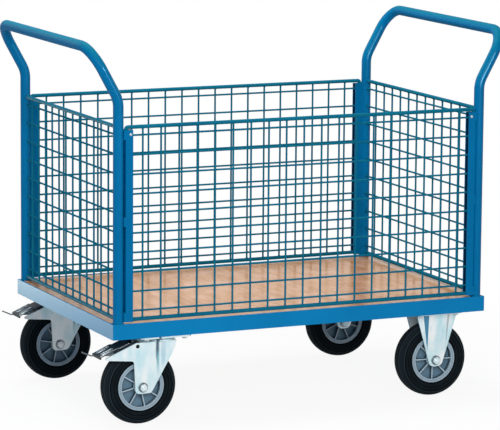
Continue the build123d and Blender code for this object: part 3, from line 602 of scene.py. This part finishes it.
def turned(levels, origin, axis, steps, closed=False):
    # rings round an axis; a level is height along it and radius, and a radius may change with the angle
    axis = Vector(axis).normalized()
    side = axis.orthogonal().normalized()
    other = axis.cross(side)
    count = len(levels)
    verts, faces = [], []
    for i in range(steps):
        angle = 2 * math.pi * i / steps
        spoke = side * math.cos(angle) + other * math.sin(angle)
        for height, radius in levels:
            reach = radius(angle) if callable(radius) else radius
            verts.append(Vector(origin) + axis * height + spoke * reach)
    for i in range(steps):
        j = (i + 1) % steps
        for k in range(count if closed else count - 1):
            m = (k + 1) % count
            faces.append((i * count + k, i * count + m, j * count + m, j * count + k))
    return verts, faces


def hexagon(corner, limit=math.inf):
    # hexagon, its corners turned down to a circle where there is a limit
    flat = corner * math.cos(math.pi / 6)
    return lambda angle: min(flat / math.cos((angle + math.pi / 6) % (math.pi / 3) - math.pi / 6), limit)


bead = {"sides": 8, "rippleShare": 0.14, "leastSteps": 32, "rippleSteps": 4}


def weldRing(centre, axis, ring, size, ripples):
    # a weld run: a round bead with the ripples of its passes
    levels = []
    for i in range(bead["sides"]):
        turn = 2 * math.pi * i / bead["sides"]
        levels.append((size * math.sin(turn), lambda angle, c=math.cos(turn): ring + size * c * (
            1 + bead["rippleShare"] * math.sin(ripples * angle))))
    return turned(levels, centre, axis, max(bead["leastSteps"], bead["rippleSteps"] * ripples), closed=True)


# shares of a spot's height and radius
spot = {"steps": 8, "levels": ((-1, 0), (-0.72, 0.7), (0, 1), (0.72, 0.7), (1, 0))}


def weldSpot(centre, axis, radius, height):
    return turned([(height * h, radius * r) for h, r in spot["levels"]], centre, axis, spot["steps"])


def threadTurns(spec, start):
    # crests and roots of a short thread, from a height on
    return [(start + spec["turnHigh"] * i, spec["root"] if i % 2 else spec["thread"])
            for i in range(spec["turns"])]


def barAlong(points, up, radius, closed=False, sides=8):
    # thin round bar through a line of points
    count = len(points)
    verts, faces = [], []
    for i, point in enumerate(points):
        before = points[i - 1] if i or closed else point
        after = points[(i + 1) % count] if i + 1 < count or closed else point
        side = (after - before).normalized().cross(up).normalized()
        for k in range(sides):
            turn = 2 * math.pi * k / sides
            verts.append(point + (side * math.cos(turn) + up * math.sin(turn)) * radius)
    for i in range(count if closed else count - 1):
        j = (i + 1) % count
        for k in range(sides):
            m = (k + 1) % sides
            faces.append((i * sides + k, i * sides + m, j * sides + m, j * sides + k))
    if not closed:
        faces.append(tuple(range(sides)))
        faces.append(tuple(range((count - 1) * sides, count * sides)))
    return verts, faces


def addPiece(name, shells, slot, body, replaced=(), sharp=35):
    shape = bmesh.new()
    for verts, faces in shells:
        made = [shape.verts.new(v / 1000) for v in verts]
        for face in faces:
            shape.faces.new([made[i] for i in face])
    bmesh.ops.remove_doubles(shape, verts=shape.verts, dist=1e-6)
    bmesh.ops.recalc_face_normals(shape, faces=shape.faces)
    mesh = bpy.data.meshes.new(name)
    shape.to_mesh(mesh)
    shape.free()
    mesh.polygons.foreach_set("use_smooth", [True] * len(mesh.polygons))
    mesh.set_sharp_from_angle(angle=math.radians(sharp))
    mesh.materials.append(finishes[slot])
    piece = bpy.data.objects.new(name, mesh)
    scene.collection.objects.link(piece)
    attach(piece, body)
    if replaced:
        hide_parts(*replaced)


def middleOf(node):
    low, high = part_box(node)
    return Vector([(a + b) * 500 for a, b in zip(low, high)])  # half the sum, metres to millimetres


corners = ("front_left", "back_left", "front_right", "back_right")
hands = (-1, 1)

# solid rubber tyres: crowned tread with a groove a side, stepped shoulder, moulded rings, bead lip
# each pair is distance from the middle and radius, for one half
tyre = {"steps": 160, "sharp": 25, "half": (
    (0, 99.9), (4, 99.84), (6.5, 99.6), (7.1, 98.5), (9.1, 98.3), (9.7, 99.2), (13, 98.6), (16.4, 97.3),
    (19, 95.6), (21.2, 93.2), (22.8, 90.8), (23.9, 88.6), (24.4, 86.8), (23.8, 86.2), (23.8, 84.8),
    (24.6, 84.1), (24.9, 82), (24.9, 77), (24.3, 76.2), (24.3, 74.8), (24.9, 74), (24.8, 71), (24.2, 69),
    (22.7, 67.3), (20.9, 66.4), (20.6, 63.05))}
for word in corners:
    profile = [*tyre["half"], *((-a, r) for a, r in reversed(tyre["half"][1:]))]
    shell = turned(profile, middleOf(f"{word}_tyre"), axisY, tyre["steps"], closed=True)
    addPiece(f"{word}_ringedTyre", [shell], "tyre_black", f"{word}_wheel", [f"{word}_tyre"], tyre["sharp"])
print("tyres made")

# beads round both edges of each rim, without ripples, their tops pale from the hub's painted highlight
rimBead = {"rings": (61.7, 54.6), "size": 1.1, "face": 21.6}
for word in corners:
    hubMiddle = middleOf(f"{word}_hub")
    addPiece(f"{word}_rimBeads",
             [weldRing(hubMiddle + Vector((0, hand * rimBead["face"], 0)), axisY, ring, rimBead["size"], 0)
              for hand in hands for ring in rimBead["rings"]],
             "hub_grey", f"{word}_wheel")
print("rim beads made")

# axle bolts: washer, chamfered nut and thread end on both sides; the washers are darker than the nuts, partly
# as painted shade round the nut
axle = {"seat": 35.05, "washer": 12.8, "washerThick": 2.2, "bore": 6.1, "nut": 10.0, "nutHigh": 6.5,
        "stub": 2.5, "thread": 5.9, "root": 5.4, "turns": 5, "turnHigh": 0.3, "steps": 48}


def axleEnd(spec):
    low = spec["seat"] + spec["washerThick"]
    top = low + spec["nutHigh"]
    end = top + spec["stub"]
    nut, thread = spec["nut"], spec["thread"]
    return [(0, thread), (low, thread), (low, hexagon(nut, 9.2)), (low + 0.6, hexagon(nut)),
            (top - 0.9, hexagon(nut)), (top - 0.35, hexagon(nut, 9.4)), (top, hexagon(nut, 8.8)), (top, 6.5),
            (top - 0.5, thread), *threadTurns(spec, top + 0.2), (end - 0.7, 5.6), (end, 4.6),
            (end - 0.3, 3.6), (end - 0.3, 0)]


def axleWasher(spec):
    low, reach, bore = (spec[k] for k in ("seat", "washer", "bore"))
    top = low + spec["washerThick"]
    return [(low, bore), (low, reach - 0.4), (low + 0.3, reach), (top - 0.4, reach), (top, reach - 0.5),
            (top, bore)]


for word in corners:
    body = f"{word}_swivel" if word.endswith("left") else "chassis"
    axleMiddle = middleOf(f"{word}_axle")
    addPiece(f"{word}_axleBolt",
             [turned(axleEnd(axle), axleMiddle, (0, hand, 0), axle["steps"]) for hand in hands],
             "zinc_sheet", body, [f"{word}_axle"])
    addPiece(f"{word}_axleWashers",
             [turned(axleWasher(axle), axleMiddle, (0, hand, 0), axle["steps"], closed=True)
              for hand in hands],
             "rod_steel", body)
print("axle bolts made")

# domed rivet heads on the ends of the pedal pins
rivet = {"seat": 35.0, "steps": 32, "levels": (
    (-1.0, 2.6), (0, 2.6), (0, 5.0), (0.35, 5.0), (0.8, 3.3), (1.1, 1.6), (1.1, 0))}
for word in corners[:2]:
    pinMiddle = middleOf(f"{word}_pedal_pin")
    heads = []
    for hand in hands:
        seat = pinMiddle + Vector((0, hand * rivet["seat"], 0))
        heads.append(turned(rivet["levels"], seat, (0, hand, 0), rivet["steps"]))
    addPiece(f"{word}_pinHeads", heads, "pin_dark", f"{word}_swivel")
print("pin heads made")

# button-head screws near the tops of the posts: shank, domed head, hexagon socket
button = {"head": 4.0, "high": 2.0, "steps": 36, "levels": (
    (-4.5, 0), (-4.5, 1.6), (-4.1, 2.0), (0, 2.0), (0, 4.0), (0.5, 4.0), (1.1, 3.8), (1.6, 3.3), (1.9, 2.5),
    (1.95, hexagon(1.8)), (1.8, hexagon(1.5)), (0.7, hexagon(1.5)), (0.6, 0))}
screwLow, screwHigh = (Vector(v) * 1000 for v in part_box("post_screws"))
screws = []
for side in hands:
    for end in hands:
        seat = Vector((end * (screwHigh.x - button["head"]), side * (screwHigh.y - button["high"]),
                       (screwLow.z + screwHigh.z) / 2))
        screws.append(turned(button["levels"], seat, (0, side, 0), button["steps"]))
addPiece("socketScrews", screws, "zinc_bolt", "chassis", ["post_screws"])

# castor bolts: chamfered heads below the plates, nuts and thread ends above the flange
# a group is the middle of a castor's plate and half the spacing of its bolts, each as x and y
castorBolt = {"low": 221.65, "head": 7.3, "headHigh": 5.3, "nutLow": 14.4, "nutTop": 20.9, "end": 23.3,
              "thread": 4.0, "root": 3.6, "turns": 5, "turnHigh": 0.35, "steps": 36,
              "groups": ((-383, 297, 52.5, 40), (409, 279, 52.5, 45))}


def boltLevels(spec):
    head, top, thread, root = (spec[k] for k in ("head", "headHigh", "thread", "root"))
    nutLow, nutTop, end = (spec[k] for k in ("nutLow", "nutTop", "end"))
    return [(0.2, 0), (0.2, 4.6), (0, 5.2), (0, hexagon(head, 6.2)), (0.7, hexagon(head)),
            (top - 0.3, hexagon(head)), (top, hexagon(head, 6.9)), (top, thread), (nutLow, thread),
            (nutLow, hexagon(head, 6.8)), (nutLow + 0.4, hexagon(head)), (nutTop - 0.7, hexagon(head)),
            (nutTop, hexagon(head, 6.3)), (nutTop, 4.2), *threadTurns(spec, nutTop + 0.1),
            (end - 0.4, root), (end, 3.1), (end, 0)]


addPiece("castorBolts",
         [turned(boltLevels(castorBolt), (x + i * apartX, side * y + j * apartY, castorBolt["low"]), axisZ,
                 castorBolt["steps"])
          for x, y, apartX, apartY in castorBolt["groups"] for side in hands for i in hands for j in hands],
         "zinc_bolt", "chassis", ["castor_bolts"])
print("screws and bolts made")

# welds of the wire walls: a flattened spot at each crossing, a blob at each wire end
meshPitch = 50
walls = {"heights": [303.4 + meshPitch * i for i in range(10)], "upperAndLower": (287, 769.8), "spot": 3.3,
         "spotHigh": 2.7, "blob": 3.5, "blobHigh": 2.2, "blobOut": 1.8, "layer": 2.5, "sharp": 80}
longWall = {"plane": 341, "wireEnd": 494.6, "along": axisX, "across": axisY,
            "uprights": [meshPitch * i for i in range(-9, 10)]}
endWall = {"plane": 513.5, "wireEnd": 321.6, "along": axisY, "across": axisX,
           "uprights": [meshPitch * (i + 0.5) for i in range(-6, 6)]}


def wallPoint(wall, hand, along, out, z):
    # a place along a wall, so far out from the plane of its uprights
    away = hand * (wall["plane"] + out)
    return (along, away, z) if wall is longWall else (away, along, z)


wallSides = (("front", -1, longWall), ("back", 1, longWall), ("left", -1, endWall), ("right", 1, endWall))
for word, hand, wall in wallSides:
    shells = [weldSpot(wallPoint(wall, hand, along, 0, z), wall["across"], walls["spot"], walls["spotHigh"])
              for along in wall["uprights"] for z in walls["heights"]]
    shells += [weldSpot(wallPoint(wall, hand, along, walls["blobOut"], z), axisZ, walls["blob"],
                        walls["blobHigh"]) for along in wall["uprights"] for z in walls["upperAndLower"]]
    shells += [weldSpot(wallPoint(wall, hand, end * wall["wireEnd"], -walls["layer"], z), wall["along"],
                        walls["blob"], walls["blobHigh"]) for end in hands for z in walls["heights"]]
    addPiece(f"{word}_meshWelds", shells, "blue_wire", "chassis", sharp=walls["sharp"])
print("mesh welds made")

# weld runs under the coat: hoop feet, rail ends on the tubes and posts, hook ends on the posts
# a run is its ring's radius, the bead's radius and the ripples round it
runs = {"legY": 335.5, "footZ": 272.3, "foot": (13.3, 1.7, 34), "railZ": (282, 774.8), "rail": (5.1, 1.6, 14),
        "hookX": 495.5, "hookZ": 768.2, "hook": (4.9, 1.2, 12), "sharp": 80}
shells = []
for end in hands:
    for side in hands:
        legX, wallY = end * endWall["plane"], side * longWall["plane"]
        shells.append(weldRing((legX, side * runs["legY"], runs["footZ"]), axisZ, *runs["foot"]))
        for z in runs["railZ"]:
            shells.append(weldRing((legX, side * endWall["wireEnd"], z), axisY, *runs["rail"]))
        shells.append(weldRing((end * longWall["wireEnd"], wallY, runs["railZ"][0]), axisX, *runs["rail"]))
        shells.append(weldRing((end * runs["hookX"], wallY, runs["hookZ"]), axisZ, *runs["hook"]))
addPiece("frameWelds", shells, "blue_tube", "chassis", sharp=runs["sharp"])
print("weld runs made")

# brake pedals: bright rolled rims round the two slots, bright strips along the edges of the plate
# an edge goes from its root to a step up and on to the tip
pedalTrim = {"pivotX": -458, "pivotY": 297, "pivotZ": 208, "slope": 22.15, "low": 15.4, "top": 17.9,
             "half": 28, "root": 14, "stepLow": 45, "stepTop": 49, "tip": 100.5, "edgeIn": 0.6, "edge": 0.7,
             "slotX": 75.5, "slotLong": 36, "slotWide": 10, "slotSteps": 32, "rim": 0.9}


def pedalPoint(spec, side, along, up, across):
    slope = math.radians(spec["slope"])
    return Vector((spec["pivotX"] - along * math.cos(slope) - up * math.sin(slope),
                   side * spec["pivotY"] + across,
                   spec["pivotZ"] - along * math.sin(slope) + up * math.cos(slope)))


def slotLine(spec, side, lane):
    radius = spec["slotWide"] / 2
    straight = spec["slotLong"] / 2 - radius
    points = []
    for i in range(spec["slotSteps"]):
        turn = 2 * math.pi * i / spec["slotSteps"]
        shift = straight if i < spec["slotSteps"] / 2 else -straight
        points.append(pedalPoint(spec, side, spec["slotX"] + shift + radius * math.sin(turn), spec["top"],
                                 lane - radius * math.cos(turn)))
    return points


def edgeLine(spec, side, across):
    bends = (("root", "low"), ("stepLow", "low"), ("stepTop", "top"), ("tip", "top"))
    return [pedalPoint(spec, side, spec[along], spec[up], across) for along, up in bends]


slope = math.radians(pedalTrim["slope"])
pedalUp = Vector((-math.sin(slope), 0, math.cos(slope)))
laneY, edgeY = pedalTrim["half"] / 2, pedalTrim["half"] - pedalTrim["edgeIn"]
for side, word in zip(hands, corners[:2]):
    shells = [barAlong(slotLine(pedalTrim, side, hand * laneY), pedalUp, pedalTrim["rim"], closed=True)
              for hand in hands]
    shells += [barAlong(edgeLine(pedalTrim, side, hand * edgeY), pedalUp, pedalTrim["edge"])
               for hand in hands]
    addPiece(f"{word}_pedalTrim", shells, "zinc_bolt", f"{word}_brake")
print("pedal trim made")


# flags in the studio: which pieces a lamp is kept to, and which it is kept off
def flagLamp(spec, kind, state):
    flagged = bpy.data.collections.new(spec["name"])
    for thing in scene.objects:
        if thing.type == "MESH" and thing.name.startswith(spec[kind]):
            flagged.objects.link(thing)
    for member in flagged.collection_objects:
        member.light_linking.link_state = state
    scene.objects[spec["name"]].light_linking.receiver_collection = flagged


for lampSpec in studio["lamps"]:
    for kind, state in (("lights", "INCLUDE"), ("skips", "EXCLUDE")):
        if kind in lampSpec:
            flagLamp(lampSpec, kind, state)
print("lamps flagged")
